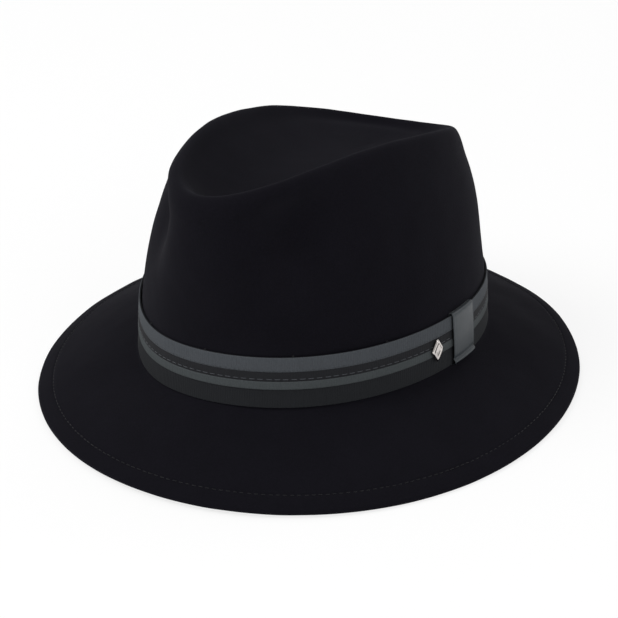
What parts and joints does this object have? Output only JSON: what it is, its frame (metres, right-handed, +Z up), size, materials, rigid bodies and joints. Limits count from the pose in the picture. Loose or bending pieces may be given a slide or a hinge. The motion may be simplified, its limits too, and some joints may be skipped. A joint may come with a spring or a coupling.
{
  "type": "fedora hat",
  "caption": "Pinched teardrop-crown felt fedora with a striped grosgrain band, satin keeper, small plain lozenge pin, leather sweatband and satin lining.",
  "frame": {"origin": "middle of the head opening, at the level where the brim breaks from the crown", "axes": "+Z up through the crown, -Y the wearer's front, +X the wearer's left"},
  "size_m": [0.2788, 0.3043, 0.1476],
  "materials": {
    "felt": "matt fur felt",
    "felt_thread": "matt thread",
    "base_grosgrain": "ribbed grosgrain",
    "slate_grosgrain": "ribbed grosgrain",
    "slate_grosgrain_upper": "ribbed grosgrain",
    "dark_grosgrain": "ribbed grosgrain",
    "grey_thread": "matt thread",
    "keeper_satin": "smooth satin",
    "polished_metal": "polished",
    "plate_steel": "plain",
    "sweat_leather": "smooth dark leather",
    "reed_tape": "woven tape",
    "sweat_thread": "matt thread",
    "bow_ribbon": "ribbed ribbon",
    "lining_satin": "satin",
    "piping_satin": "satin",
    "lining_thread": "thread",
    "label_tape": "woven, blank"
  },
  "bodies": {
    "root": {"felt_body": "felt", "brim_edge_stitching": "felt_thread", "hatband_ribbon": "base_grosgrain", "band_lower_strip": "slate_grosgrain", "band_centre_stripe": "dark_grosgrain", "band_upper_strip": "slate_grosgrain_upper", "band_stitching": "grey_thread", "band_tacking": "felt_thread", "keeper_loop": "keeper_satin", "keeper_tuck": "base_grosgrain", "hat_pin": "polished_metal", "pin_prongs": "polished_metal", "pin_back_plate": "plate_steel", "sweatband": "sweat_leather", "sweatband_reed": "reed_tape", "sweatband_stitching": "sweat_thread", "sweatband_seam_tape": "base_grosgrain", "sweatband_bow": "bow_ribbon", "lining_side": "lining_satin", "lining_tip": "lining_satin", "lining_piping": "piping_satin", "lining_tacking": "lining_thread", "size_label": "label_tape"}
  },
  "joints": []
}
